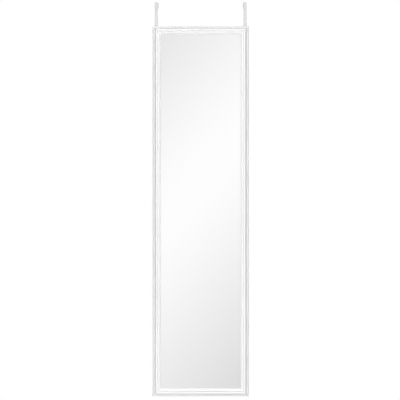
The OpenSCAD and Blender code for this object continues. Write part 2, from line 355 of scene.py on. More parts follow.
def end_material(graph, inputs):
    shader = graph.add("ShaderNodeBsdfPrincipled", {}, inputs)
    graph.add("ShaderNodeOutputMaterial", {}, {"Surface": shader})


def grey(level, warmth=0.0):
    """A near-neutral colour; warmth above 0 leans to yellow, below 0 to blue."""
    return (level * (1 + warmth), level, level * (1 - warmth), 1)


print("material helpers ready")

# %% [markdown]
# ### Painted moulding
#
# The frame is a wood-fibre moulding with a satin white paint, sprayed on before it was cut. The paint
# shows three things close up: a fine orange-peel relief, faint lines of the fibres along the length,
# and in the sunk lines a grey that is painted shade, with a little dust in it that a duster doesn't reach.
# The back and the rebate are only caught by overspray, so the brown fibre shows there. Two attributes
# of the section carry this along the moulding: bare is 1 where no paint was meant to go, and the second
# says how much the neighbouring beads shade a point, which sets how grey the painted shade makes the paint.

# %% Paint for the frame
WHITE_PAINT = grey(0.90, 0.001)
# the grey that the sunk lines are mixed towards: painted shade, with a little dust in it
SHADE_AND_DUST_GREY = grey(0.68, 0.006)
FIBRE_LIGHT = (0.46, 0.33, 0.21, 1)
FIBRE_DARK = (0.25, 0.165, 0.095, 1)


def painted_moulding(name, along):
    """White paint over fibre; along is the stretch of the fibres on this moulding."""
    made, graph = new_material(name)
    lines = grain(graph, 0.5 * MM, along, 3.0)
    patches = grain(graph, 60 * MM, detail=3.0)
    spatter = grain(graph, 2.5 * MM, detail=4.0)
    neighbour_shade = attribute(graph, "neighbour_shade")
    bare = (attribute(graph, "bare") + 0.5 * spatter - 0.25).fade(0.42, 0.62)
    # greys the sunk lines by how much the neighbouring beads shade them: painted shade, with random patches
    # of dust
    dust = (neighbour_shade.fade(0.25, 0.75) * (0.55 + 0.9 * patches)).at_most(1.0)
    paint = mixed(graph, 0.7 * dust, WHITE_PAINT, SHADE_AND_DUST_GREY)
    paint = mixed(graph, 0.06 * patches, paint, grey(0.84, 0.004))
    fibres = mixed(graph, grain(graph, 1.2 * MM, along, 5.0), FIBRE_DARK, FIBRE_LIGHT)
    peel = grain(graph, 1.4 * MM, detail=1.0)
    paint_relief = 0.010 * peel + 0.004 * lines
    fibre_relief = 0.10 * grain(graph, 0.35 * MM, detail=4.0)
    end_material(graph, {
        "Base Color": mixed(graph, bare, paint, fibres),
        "Roughness": 0.36 + 0.08 * patches + 0.14 * dust + 0.42 * bare,
        "Normal": relief(graph, paint_relief + bare * (fibre_relief - paint_relief)),
        "IOR": 1.47,
    })
    return made


rail_paint = painted_moulding("satin_white_rail", (60, 1, 1))
stile_paint = painted_moulding("satin_white_stile", (1, 1, 60))

# %% [markdown]
# ### Silvered glass
#
# A mirror reflects at the silver on the back of its glass. A closed sheet with a polished metal face
# reads the same from any distance and needs no light to pass through glass. The ground rim is matt and
# a little green, and the back has the grey paint that protects the silver. One material does all three
# by the depth at which a point lies, and the face keeps a breath of cleaning marks in its roughness.

# %% Glass, silver and backing paint
SILVER = (0.962, 0.964, 0.963, 1)
GROUND_RIM = (0.50, 0.60, 0.56, 1)
BACKING_PAINT = (0.33, 0.35, 0.37, 1)


def silvered_glass():
    """A mirror in front, a ground rim and grey paint behind, told apart by depth."""
    made, graph = new_material("silvered_glass")
    depth = graph.split(own_place(graph))[1]
    behind_face = depth.fade(glass_low.y + 0.05 * MM, glass_low.y + 0.35 * MM)
    on_back = depth.fade(glass_high.y - 0.35 * MM, glass_high.y - 0.05 * MM)
    wiped = grain(graph, 18 * MM, (6, 1, 1), 3.0)
    roller = grain(graph, 1.6 * MM, (1, 1, 8), 3.0)
    rim = mixed(graph, grain(graph, 0.8 * MM), GROUND_RIM, grey(0.62))
    backing = mixed(graph, roller, BACKING_PAINT, grey(0.42, -0.02))
    outside = mixed(graph, on_back, rim, backing)
    end_material(graph, {
        "Base Color": mixed(graph, behind_face, SILVER, outside),
        "Metallic": 1.0 - behind_face,
        "Roughness": 0.004 + 0.012 * wiped + 0.5 * behind_face,
        "Normal": relief(graph, behind_face * 0.02 * roller),
    })
    return made


mirror_glass = silvered_glass()

# %% [markdown]
# ### Hardboard and foam
#
# Hardboard is pressed from wet fibres: one side comes off the plate smooth and dark, the other keeps
# the print of the wire screen it drained through. Here the smooth side faces the door. The foam behind
# the glass and the blocks behind the straps are white closed-cell foam, seen as a skin of small cells.

# %% Board and foam
WIRE_PITCH = 1.6 * MM
BOARD_DARK = (0.17, 0.095, 0.05, 1)
BOARD_LIGHT = (0.36, 0.225, 0.13, 1)
BOARD_CLOUD = (0.25, 0.145, 0.08, 1)
BOARD_FLECK = (0.47, 0.33, 0.21, 1)


def hardboard():
    """Pressed brown fibre with flecks, smooth on the side that faces the door."""
    made, graph = new_material("hardboard")
    low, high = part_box("backing_board")
    x, depth, z = graph.split(own_place(graph))
    smooth_side = depth.fade(low.y + 0.4 * MM, high.y - 0.2 * MM)
    wire_turn = 2 * math.pi / WIRE_PITCH
    screen = (x * wire_turn).apply("SINE") * (z * wire_turn).apply("SINE")
    fibres = grain(graph, 1.1 * MM, (3, 1, 2), 5.0)
    clouds = grain(graph, 45 * MM, detail=4.0)
    flecks = grain(graph, 2.2 * MM, (4, 1, 1), 2.0, (3, 0, 0)).fade(0.66, 0.74)
    brown = mixed(graph, fibres, BOARD_DARK, BOARD_LIGHT)
    brown = mixed(graph, 0.45 * clouds, brown, BOARD_CLOUD)
    brown = mixed(graph, 0.5 * flecks, brown, BOARD_FLECK)
    rough_relief = 0.12 * screen + 0.08 * fibres
    end_material(graph, {
        "Base Color": brown,
        "Roughness": 0.78 - 0.26 * smooth_side + 0.10 * clouds,
        "Normal": relief(graph, rough_relief + smooth_side * (0.03 * fibres - rough_relief)),
    })
    return made


def closed_cell_foam():
    """A white skin of small cells with slightly darker walls."""
    made, graph = new_material("closed_cell_foam")
    walls = cells(graph, 0.7 * MM)
    clouds = grain(graph, 12 * MM, detail=3.0)
    body = mixed(graph, clouds, grey(0.80, 0.015), grey(0.88, 0.01))
    end_material(graph, {
        "Base Color": mixed(graph, walls.fade(0.35, 0.75), body, grey(0.70, 0.02)),
        "Roughness": 0.78 + 0.12 * clouds,
        "Normal": relief(graph, -0.10 * walls),
        "Sheen Weight": 0.15,
    })
    return made


board_brown = hardboard()
foam_white = closed_cell_foam()

# %% [markdown]
# ### Zinc plate and powder coat
#
# Nails, points, screws and washers are bright zinc plate: a metal whose crystals differ a little in
# tone and gloss. The straps are steel with a pale grey satin powder coat; the screws and the door rub
# it off round the slot and on the saddle, which the attribute worn says.

# %% Metals
ZINC_DARK = (0.60, 0.615, 0.635, 1)
ZINC_BRIGHT = (0.80, 0.805, 0.815, 1)
BARE_STEEL = (0.58, 0.585, 0.60, 1)


def zinc_plate():
    """Bright metal with faint crystals and finger marks."""
    made, graph = new_material("bright_zinc")
    crystals = cells(graph, 1.3 * MM, out="Color")
    tone = graph.split(crystals)[0]
    drawn = grain(graph, 0.12 * MM, (1, 1, 14), 3.0)
    handling = grain(graph, 3.5 * MM, detail=3.0)
    end_material(graph, {
        "Base Color": mixed(graph, 0.6 * tone + 0.4 * handling, ZINC_DARK, ZINC_BRIGHT),
        "Metallic": 1.0,
        "Roughness": 0.24 + 0.12 * tone + 0.12 * drawn,
        "Normal": relief(graph, 0.004 * drawn),
    })
    return made


def powder_coat():
    """Pale grey coat with a fine peel, rubbed through to the steel where worn is high."""
    made, graph = new_material("pale_grey_powder_coat")
    peel = grain(graph, 0.9 * MM, detail=2.0)
    patches = grain(graph, 14 * MM, detail=3.0)
    scuffs = grain(graph, 0.8 * MM, (1, 1, 7), 4.0)
    worn = (attribute(graph, "worn") * 1.1 + 0.5 * scuffs - 0.55).fade(0.30, 0.50)
    coat = mixed(graph, patches, grey(0.625, -0.002), grey(0.655, -0.002))
    end_material(graph, {
        "Base Color": mixed(graph, worn, coat, BARE_STEEL),
        "Metallic": worn,
        "Roughness": 0.40 + 0.08 * peel + 0.05 * patches - 0.10 * worn,
        "Normal": relief(graph, 0.020 * peel + 0.03 * (1 - worn)),
        "IOR": 1.5,
    })
    return made


bright_zinc = zinc_plate()
pale_coat = powder_coat()

# %% [markdown]
# ### Felt and rubber
#
# Felt is a mat of fibres that cross each other, so it is drawn as the larger of two noises, each
# stretched along another axis, with a sheen for the loose ends. The bumpers are cast in soft milky
# rubber, into which light goes a little way, and dust clings to it.

# %% Soft finishes
def pressed_felt():
    """Pale felt with crossing fibres and soft tufts."""
    made, graph = new_material("pressed_felt")
    across = grain(graph, 0.16 * MM, (12, 1, 1), 3.0)
    along = grain(graph, 0.16 * MM, (1, 12, 4), 3.0, (2, 0, 0))
    tufts = grain(graph, 1.6 * MM, detail=4.0)
    fibres = across.at_least(along)
    end_material(graph, {
        "Base Color": mixed(graph, fibres.fade(0.35, 0.75), grey(0.78, 0.004), grey(0.92, 0.004)),
        "Roughness": 0.90 + 0.08 * tufts,
        "Normal": relief(graph, 0.09 * fibres + 0.12 * tufts),
        "Sheen Weight": 0.35,
    })
    return made


def milky_rubber():
    """Cloudy rubber that takes in a little light, with specks of dust."""
    made, graph = new_material("milky_rubber")
    clouds = grain(graph, 5 * MM, detail=3.0)
    dust = grain(graph, 0.4 * MM, detail=4.0).fade(0.58, 0.72)
    end_material(graph, {
        "Base Color": mixed(graph, 0.5 * clouds + 0.3 * dust, grey(0.83, 0.004), grey(0.72, 0.01)),
        "Roughness": 0.30 + 0.12 * clouds + 0.25 * dust,
        "Normal": relief(graph, 0.006 * clouds + 0.004 * dust),
        "Subsurface Weight": 0.25,
        "Subsurface Radius": (2 * MM, 2 * MM, 2 * MM),
        "IOR": 1.43,
    })
    return made


pale_felt = pressed_felt()
bumper_rubber = milky_rubber()
print("materials:", len(bpy.data.materials))

# %% [markdown]
# ## The frame's moulding
#
# A frame maker runs one moulding through the cutter, saws four lengths at 45 degrees and joins them.
# The section is what matters: from the outside in it has a splay, a narrow round ridge, a valley, a
# tall bead, a sunk line, a lower bead and a slope that falls to the glass. Behind the lip is the rebate
# that takes the glass and the board.
#
# It could be a boolean of boxes and cylinders, but then every arris is razor sharp. Drawn as one
# outline of arcs and corners, each corner can be eased by the third of a millimetre that sandpaper and
# paint leave, and that is what catches the light on a real frame.

# %% Measures of the section, in millimetres
EDGE_H = 4.6
RIDGE_INSET = 5.0
RIDGE_W = 1.2
RIDGE_RISE = 0.3
RIDGE_H = 8.6
VALLEY_FLOOR = 7.0
OUTER_BEAD_W = 4.2
INNER_BEAD_W = 3.6
BEAD_RISE = 0.3
INNER_BEAD_DROP = 0.4
QUIRK_W = 2.4
QUIRK_DEPTH = 3.4
FALL_W = 5.4
LIP_T = 2.0
REBATE_W = 8.0
REBATE_DEPTH = 9.6
SPRAY_REACH = 0.05
ARRIS = 0.35
EASED_SHARE = 0.45
CORNER_ROOM = 0.5
ARC_STEPS = 10

print(f"beads {OUTER_BEAD_W} and {INNER_BEAD_W} mm wide, {QUIRK_W} mm apart")


# %% Draw the section
def arc(centre, radius, start, end):
    """Points from one angle to another, in degrees, on a circle."""
    turns = [math.radians(start + (end - start) * i / ARC_STEPS) for i in range(ARC_STEPS + 1)]
    return [(centre[0] + radius * math.cos(turn), centre[1] + radius * math.sin(turn)) for turn in turns]


def eased(before, corner, after, reach):
    """Three points that round a corner off, reaching this far along both its sides."""
    before, corner, after = Vector(before), Vector(corner), Vector(after)
    start = corner + (before - corner).normalized() * reach
    end = corner + (after - corner).normalized() * reach
    return [tuple(start), tuple((start + 2 * corner + end) / 4), tuple(end)]


def bead(start, width, crest, rise):
    """An arc over a bead's width, from its inner shoulder up to its crest and down to its outer one."""
    radius = (width ** 2 / 4 + rise ** 2) / (2 * rise)
    shoulder = math.degrees(math.acos(width / 2 / radius))
    return arc((start + width / 2, crest - radius), radius, shoulder, 180 - shoulder)


def moulding_outline():
    """The section in millimetres, from the back outer corner: across the back, the rebate, the front."""
    width = moulding_w / MM
    height = moulding_t / MM
    rebate_u = width - REBATE_W
    inner_u = width - FALL_W - INNER_BEAD_W
    outer_u = inner_u - QUIRK_W - OUTER_BEAD_W
    ridge_u = RIDGE_INSET - RIDGE_W / 2
    valley_u = ridge_u + RIDGE_W + (RIDGE_H - RIDGE_RISE - VALLEY_FLOOR) / 2
    square = [(0, 0), (rebate_u, 0), (rebate_u, REBATE_DEPTH)]
    square += [(width, REBATE_DEPTH), (width, REBATE_DEPTH + LIP_T)]
    inner = bead(inner_u, INNER_BEAD_W, height - INNER_BEAD_DROP, BEAD_RISE)
    quirk = [(inner_u - QUIRK_W / 2, height - QUIRK_DEPTH)]
    outer = bead(outer_u, OUTER_BEAD_W, height, BEAD_RISE)
    valley = [(valley_u, VALLEY_FLOOR)]
    ridge = bead(ridge_u, RIDGE_W, RIDGE_H, RIDGE_RISE)
    edge = [(0, EDGE_H)]
    rough = square + inner + quirk + outer + valley + ridge + edge
    corners = {*square, inner[0], inner[-1], outer[0], outer[-1], *edge}
    outline = []
    for i, point in enumerate(rough):
        before = rough[i - 1]
        after = rough[(i + 1) % len(rough)]
        room = EASED_SHARE * min(math.dist(before, point), math.dist(point, after))
        if point in corners:
            outline += eased(before, point, after, min(ARRIS, room))
        else:
            outline.append(point)
    return outline


outline = moulding_outline()
print("points in the section:", len(outline))

# %% [markdown]
# The section becomes a ring of edges, drawn so that its x is the thickness and its y is the distance
# from the outer side: that is how Curve to Mesh lays a section on a line that runs along X. Each point
# also gets its two attributes for the paint, one for bare fibre and one for painted shade in the sunk
# lines, and inward, the way into the wood, which eases the mitres.
# The paint reaches round the lip to its back, because the mirror shows that face from the side.

# %% Turn the section into a mesh with its attributes
def horizon(points, i, step, reach=8):
    """How steeply the neighbours on one side rise above a point, from 0 for open to 1 for shut in."""
    u, v = points[i]
    highest = 0.0
    for other_u, other_v in points:
        across = (other_u - u) * step
        if 0.05 < across < reach:
            highest = max(highest, math.atan2(other_v - v, across))
    return highest / (math.pi / 2)


def section_object(points):
    ring = [(i, (i + 1) % len(points)) for i in range(len(points))]
    made = link_mesh("moulding_section", [(v * MM, u * MM, 0) for u, v in points], ring)
    facing = made.data.attributes.new("inward", "FLOAT_VECTOR", "POINT")
    bare = made.data.attributes.new("bare", "FLOAT", "POINT")
    neighbour_shade = made.data.attributes.new("neighbour_shade", "FLOAT", "POINT")
    rebate_u = moulding_w / MM - REBATE_W
    front = REBATE_DEPTH + LIP_T / 2
    for i, (u, v) in enumerate(points):
        along = Vector(points[(i + 1) % len(points)]) - Vector(points[i - 1])
        along.normalize()
        facing.data[i].vector = (0, -along.x, along.y)
        on_back = v < CORNER_ROOM and u > CORNER_ROOM
        behind_lip = v < front and u > rebate_u - CORNER_ROOM
        in_rebate = behind_lip and v < REBATE_DEPTH - SPRAY_REACH
        bare.data[i].value = 1.0 if on_back or in_rebate else 0.0
        # how much the neighbouring beads shade this point; the paint is greyed by it as painted shade
        if v > EDGE_H - CORNER_ROOM and not behind_lip:
            neighbour_shade.data[i].value = (horizon(points, i, -1) + horizon(points, i, 1)) / 2
    return made


section = section_object(outline)
most = max(item.value for item in section.data.attributes["neighbour_shade"].data)
print(f"most sheltered point: {most:.2f}")

# %% [markdown]
# A mitre is only a rule: a point of the moulding ends earlier by as much as it lies further in. So one
# Geometry Nodes tree makes all four lengths. It sweeps the section along a line with four stations,
# pushes the end stations out to the mitre, draws their outline in by a hair so that the joint shows as
# the fine line it is, and turns the length to its side of the frame.

# %% A tree that makes one mitred length
MITRE_EASE = 0.15 * MM
DRAWN_IN = 0.7


def mitred_length_tree():
    """Sweeps the section along one side of the frame and cuts both its ends at 45 degrees."""
    graph, given = new_tree("mitred_length", {
        "Side Length": "Float", "Half Span": "Float", "Turn": "Float", "Ease": "Float", "Middle": "Vector",
    })
    length = given.other("Side Length")
    ease = given.other("Ease")
    line = graph.add("GeometryNodeCurvePrimitiveLine", {}, {
        "Start": graph.vector(-0.5 * length, 0.0, 0.0), "End": graph.vector(0.5 * length, 0.0, 0.0),
    })
    line = graph.add("GeometryNodeResampleCurve", {}, {"Curve": line, "Count": 4})
    line = graph.add("GeometryNodeSetCurveNormal", {"mode": "Z_UP"}, {"Curve": line})
    profile = graph.add("GeometryNodeMeshToCurve", {}, {"Mesh": given})
    swept = graph.add("GeometryNodeCurveToMesh", {}, {
        "Curve": line, "Profile Curve": profile, "Fill Caps": True,
    })
    x, y, z = graph.split(graph.add("GeometryNodeInputPosition"))
    at_end = x.apply("ABSOLUTE") > 0.25 * length
    reach = 0.5 * length + z - ease * (1 - at_end)
    inward = graph.add("GeometryNodeInputNamedAttribute", {"data_type": "FLOAT_VECTOR"}, {"Name": "inward"})
    mitred = graph.moved(graph.vector(x.apply("SIGN") * reach, y, z), inward, DRAWN_IN * ease * at_end)
    shaped = graph.add("GeometryNodeSetPosition", {}, {"Geometry": swept, "Position": mitred})
    on_top = graph.add("GeometryNodeTransform", {}, {
        "Geometry": shaped, "Translation": graph.vector(0.0, 0.0, given.other("Half Span")),
    })
    turned = graph.add("GeometryNodeTransform", {}, {
        "Geometry": on_top,
        "Translation": given.other("Middle"),
        "Rotation": graph.rotation(0.0, given.other("Turn"), 0.0),
    })
    return end_tree(graph, turned, given)


# %% Make the four lengths
mitred_length = mitred_length_tree()
SIDES = {
    "top_moulding": ("frame_rail_top", 0, rail_paint, frame_w, frame_h),
    "bottom_moulding": ("frame_rail_bottom", 180, rail_paint, frame_w, frame_h),
    "left_moulding": ("frame_stile_left", -90, stile_paint, frame_h, frame_w),
    "right_moulding": ("frame_stile_right", 90, stile_paint, frame_h, frame_w),
}
for name, (_, turn, paint, length, span) in SIDES.items():
    side = bpy.data.objects.new(name, section.data.copy())
    bpy.context.scene.collection.objects.link(side)
    run_tree(side, mitred_length, {
        "Side Length": length,
        "Half Span": span / 2,
        "Turn": math.radians(turn),
        "Ease": MITRE_EASE,
        "Middle": list(frame_middle),
        "Material": paint,
    })
    clean(side)
bpy.data.objects.remove(section)

# %% [markdown]
# ## Glass, foam and board
#
# Three flat sheets lie in the rebate. A sheet could be a scaled cube, but a real one never has such
# edges: glass is seamed on a belt grinder and its corners are nipped, and board is sawn and sanded. A
# stack of outline rings, each drawn in a little more towards the faces, gives those edges with very
# few faces, and its large faces stay perfectly flat, which a mirror needs.

# %% A sheet with eased edges
CORNER_STEPS = 3


def rounded_rectangle(half_x, half_z, radius):
    """Corner points of a rectangle about the origin, with rounded corners."""
    points = []
    for start, (side_x, side_z) in zip((0, 90, 180, 270), ((1, 1), (-1, 1), (-1, -1), (1, -1))):
        for i in range(CORNER_STEPS + 1):
            turn = math.radians(start + 90 * i / CORNER_STEPS)
            x = side_x * (half_x - radius) + radius * math.cos(turn)
            z = side_z * (half_z - radius) + radius * math.sin(turn)
            points.append((x, z))
    return points


def eased_sheet(name, node, ease, corner):
    """A flat sheet in the box of its solid, seamed by ease round both faces."""
    low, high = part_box(node)
    middle = (low + high) / 2
    half = (high - low) / 2
    points = []
    for y, inset in ((low.y, ease), (low.y + ease, 0), (high.y - ease, 0), (high.y, ease)):
        ring = rounded_rectangle(half.x - inset, half.z - inset, corner)
        points += [(middle.x + x, y, middle.z + z) for x, z in ring]
    count = len(ring)
    faces = [list(range(count)), list(range(3 * count, 4 * count))]
    for here in (0, count, 2 * count):
        there = here + count
        for i in range(count):
            j = (i + 1) % count
            faces.append([here + i, here + j, there + j, there + i])
    return clean(link_mesh(name, points, faces=faces))


glass = eased_sheet("silvered_glass_sheet", "mirror_plate", 0.4 * MM, 1.5 * MM)
dress(glass, mirror_glass, "silvered_glass", "mirror", "mirror_plate")
board = eased_sheet("hardboard_back", "backing_board", 0.25 * MM, 0.6 * MM)
dress(board, board_brown, "hardboard", "mirror", "backing_board")

# %% [markdown]
# ## Soft pads
#
# Felt and foam are cut from a sheet and stuck on. The glued face is flat. The free face is crowned,
# because the knife pinches the edge, and the sides draw in a little between the corners. A pad is a
# grid on each face, so the crown and a faint unevenness are a formula at each point. Cloth with
# pressure would swell such thin pads into sausages, which cut felt never is, so they are modelled.

# %% A crowned pad
from mathutils import noise


def crowned_pad(name, half_a, half_b, thickness, to_frame, crown, draw_in, rough, steps):
    """A pad on the plane c = 0, out to c = thickness; to_frame puts a point (a, b, c) in its place."""
    steps_a, steps_b = steps
    columns = steps_b + 1
    points = []
    for layer in (0, 1):
        for i in range(steps_a + 1):
            for j in range(columns):
                s = math.sin(math.pi * (i / steps_a - 0.5))
                t = math.sin(math.pi * (j / steps_b - 0.5))
                a = half_a * s * (1 - draw_in * (1 - t * t))
                b = half_b * t * (1 - draw_in * half_a / half_b * (1 - s * s))
                dome = (1 - s ** 6) ** 0.5 * (1 - t ** 6) ** 0.5
                bump = rough * noise.noise(Vector((a, b, layer)) / (1.5 * MM)) * dome
                c = layer * (thickness * (1 - crown + crown * dome) - abs(bump))
                points.append(to_frame(a, b, c))
    size = (steps_a + 1) * columns
    faces = []
    for i in range(steps_a):
        for j in range(steps_b):
            low = [i * columns + j, i * columns + j + 1, (i + 1) * columns + j + 1, (i + 1) * columns + j]
            faces += [low, [size + k for k in low]]
    rim = [(0, j) for j in range(steps_b)] + [(i, steps_b) for i in range(steps_a)]
    rim += [(steps_a, j) for j in range(steps_b, 0, -1)] + [(i, 0) for i in range(steps_a, 0, -1)]
    rim = [i * columns + j for i, j in rim]
    for k, start in enumerate(rim):
        end = rim[(k + 1) % len(rim)]
        faces.append([start, end, size + end, size + start])
    return clean(link_mesh(name, points, faces=faces), smooth_angle=60)


# %% [markdown]
# Each pad fills the box of its solid and is glued at one face of it: the saddle's felt to the strap
# above it, the leg's felt and the foam sheet to what lies behind them, and the foam block to the strap
# in front of it. The free face is the one that touches the door or the glass.

# %% A pad in the box of its solid
def pad_in_box(name, node, glued_at, **look):
    """A pad glued at the top, the back or the front of its solid's box; look goes to crowned_pad."""
    low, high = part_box(node)
    middle = (low + high) / 2
    half = (high - low) / 2
    if glued_at == "top":
        return crowned_pad(
            name, half.x, half.y, 2 * half.z,
            lambda a, b, c: (middle.x + a, middle.y + b, high.z - c), **look,
        )
    start, way = (high.y, -1) if glued_at == "back" else (low.y, 1)
    return crowned_pad(
        name, half.x, half.z, 2 * half.y,
        lambda a, b, c: (middle.x + a, start + way * c, middle.z + b), **look,
    )


foam_sheet = pad_in_box(
    "foam_sheet", "foam_liner", "back", crown=0.35, draw_in=0.0, rough=0.05 * MM, steps=(40, 120)
)
dress(foam_sheet, foam_white, "foam", "mirror", "foam_liner")

# %% Felt and foam on the hooks
# name, solid, material, slot, face that is glued, and the look of the pad
HOOK_PADS = (
    ("saddle_felt_", "saddle_pad_", pale_felt, "felt", "top",
     {"crown": 0.45, "draw_in": 0.02, "rough": 0.05 * MM, "steps": (16, 56)}),
    ("leg_felt_", "leg_pad_", pale_felt, "felt", "back",
     {"crown": 0.35, "draw_in": 0.02, "rough": 0.06 * MM, "steps": (20, 16)}),
    ("strap_foam_", "strap_pad_", foam_white, "foam", "front",
     {"crown": 0.30, "draw_in": 0.04, "rough": 0.05 * MM, "steps": (24, 48)}),
)
for side in ("left", "right"):
    for name, node, material, slot, glued_at, look in HOOK_PADS:
        pad = pad_in_box(name + side, node + side, glued_at, **look)
        dress(pad, material, slot, side + "_hook", node + side)

# %% [markdown]
# ## Hooks
#
# Each hook starts as a flat strip of steel. A press cuts its round ends and its long slot, and two
# bends then fold it over. The same order works here. The blank is drawn flat, as two bands of faces
# that part round the slot, and gets its thickness and its softened edges while it is still flat, where
# both are simple. Then a Geometry Nodes tree bends it by rule: a length along the strip becomes a
# place on a path of three straights and two quarter turns.

# %% Measure the hook
STEEL_T = 1.5 * MM
BEND_R = 1.5 * MM
END_R = 3.0 * MM
LEG_DROP = 14.0 * MM
SLOT_W = 4.0 * MM
SLOT_END = 8.0 * MM
SLOT_LEN = 64.1 * MM
TUMBLED = 0.2 * MM
WORN_SADDLE = 0.4
WORN_STRAP = 0.15
TURN_STEPS = 8

hook_low, hook_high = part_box("hook_left")
strap_half = (hook_high.x - hook_low.x) / 2
neutral_r = BEND_R + STEEL_T / 2
quarter = neutral_r * math.pi / 2
rise = hook_high.z - (BEND_R + STEEL_T) - hook_low.z
saddle = (hook_high.y - hook_low.y) - 2 * (BEND_R + STEEL_T)
leg = LEG_DROP - (BEND_R + STEEL_T)
blank_length = rise + quarter + saddle + quarter + leg
print(f"rise {rise / MM:.1f} mm, saddle {saddle / MM:.1f} mm, blank {blank_length / MM:.1f} mm long")


# %% Stations along the blank
def half_width(s):
    """Half the strip's width, which its two corner radii narrow at the ends."""
    from_end = min(s, blank_length - s)
    if from_end >= END_R:
        return strap_half
    return strap_half - END_R + math.sqrt(max(END_R ** 2 - (END_R - from_end) ** 2, 0))


def half_slot(s):
    """Half the slot's width, or 0 where there is no slot."""
    from_end = min(s - SLOT_END, SLOT_END + SLOT_LEN - s)
    radius = SLOT_W / 2
    if from_end <= 0:
        return 0.0
    return radius if from_end >= radius else math.sqrt(radius ** 2 - (radius - from_end) ** 2)


def round_end(edge, radius, way):
    """Stations that close in on a rounded end, as even steps of its arc would."""
    steps = range(TURN_STEPS + 1)
    return [edge + way * radius * (1 - math.cos(math.pi / 2 * i / TURN_STEPS)) for i in steps]


def even(start, end, count):
    return [start + (end - start) * i / count for i in range(count + 1)]


stations = round_end(0, END_R, 1) + round_end(blank_length, END_R, -1)
stations += round_end(SLOT_END, SLOT_W / 2, 1) + round_end(SLOT_END + SLOT_LEN, SLOT_W / 2, -1)
stations += even(rise, rise + quarter, TURN_STEPS)
stations += even(rise + quarter + saddle, rise + quarter + saddle + quarter, TURN_STEPS)
stations = sorted({round(s, 7) for s in stations})
print("stations:", len(stations))


# %% Draw the flat blank
def hook_blank(name):
    """The flat strip with its slot, its thickness and its softened edges, before it is bent."""
    points = []
    wear = []
    for s in stations:
        outer, inner = half_width(s), half_slot(s)
        points += [(-outer, 0, s), (-inner, 0, s), (inner, 0, s), (outer, 0, s)]
        by_slot = 1.0 if inner > 0 else 0.0
        by_edge = WORN_SADDLE if rise + quarter <= s <= rise + quarter + saddle else WORN_STRAP
        wear += [by_edge, by_slot, by_slot, by_edge]
    faces = []
    for i in range(len(stations) - 1):
        here, there = 4 * i, 4 * (i + 1)
        faces += [[here, here + 1, there + 1, there], [here + 2, here + 3, there + 3, there + 2]]
    made = link_mesh(name, points, faces=faces)
    worn = made.data.attributes.new("worn", "FLOAT", "POINT")
    worn.data.foreach_set("value", wear)
    work = bmesh.new()
    work.from_mesh(made.data)
    bmesh.ops.remove_doubles(work, verts=work.verts, dist=0.01 * MM)
    work.to_mesh(made.data)
    work.free()
    sheet = made.modifiers.new("thickness", "SOLIDIFY")
    sheet.thickness = STEEL_T
    sheet.offset = 0
    softened = made.modifiers.new("tumbled edges", "BEVEL")
    softened.width = TUMBLED
    softened.segments = 2
    softened.angle_limit = math.radians(50)
    return keep_result(made)


# %% [markdown]
# Bent sheet keeps its length along its middle layer, so that layer is the path: a point's turn is how far
# it has come past the start of a bend, divided by the middle layer's radius. Depth in the sheet is then
# laid off square to the path, which gives the inside and the outside of each bend their own radius.

# %% A tree that bends the blank
def bend_tree():
    """Lays the strip's length on the path over a door, from its foot up, across and down."""
    graph, given = new_tree("bent_strip", {
        "Rise": "Float", "Saddle": "Float", "Neutral Radius": "Float", "Foot": "Vector",
    })
    rise_to, flat, radius = given.other("Rise"), given.other("Saddle"), given.other("Neutral Radius")
    across, depth, s = graph.split(graph.add("GeometryNodeInputPosition"))
    arc_length = radius * (math.pi / 2)
    second_start = rise_to + arc_length + flat
    first = ((s - rise_to) / radius).at_least(0.0).at_most(math.pi / 2)
    second = ((s - second_start) / radius).at_least(0.0).at_most(math.pi / 2)
    over = (s - rise_to - arc_length).at_least(0.0).at_most(flat)
    down = (s - second_start - arc_length).at_least(0.0)
    heading = first + second
    path_y = radius * (1 - first.apply("COSINE")) + over + radius * second.apply("SINE")
    top_z = s.at_most(rise_to) + radius * first.apply("SINE")
    path_z = top_z - radius * (1 - second.apply("COSINE")) - down
    bent = graph.vector(
        across, path_y + depth * heading.apply("COSINE"), path_z - depth * heading.apply("SINE")
    )
    placed = graph.add("GeometryNodeSetPosition", {}, {
        "Geometry": given, "Position": bent, "Offset": given.other("Foot"),
    })
    return end_tree(graph, placed, given)


bent_strip = bend_tree()
for side in ("left", "right"):
    low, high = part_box("hook_" + side)
    hook = run_tree(hook_blank("hook_strap_" + side), bent_strip, {
        "Rise": rise,
        "Saddle": saddle,
        "Neutral Radius": neutral_r,
        "Foot": [(low.x + high.x) / 2, low.y + STEEL_T / 2, low.z],
        "Material": pale_coat,
    })
    dress(clean(hook), pale_coat, "hook_paint", side + "_hook", "hook_" + side)

# %% [markdown]
# ## Turned parts
#
# Screws, washers and bumpers are all bodies of revolution. One lathe tree makes them: it lays a grid
# over the profile, one column of points for each point of the profile, and wraps it round the axis. A
# screw's thread is the same surface with its radius cut back by a tooth that runs round as it goes
# down, so that thread, shank and head stay one closed skin. The tree then sets the part at each of its
# places, with its own turn about its axis, so that no two screws have their crosses lined up.

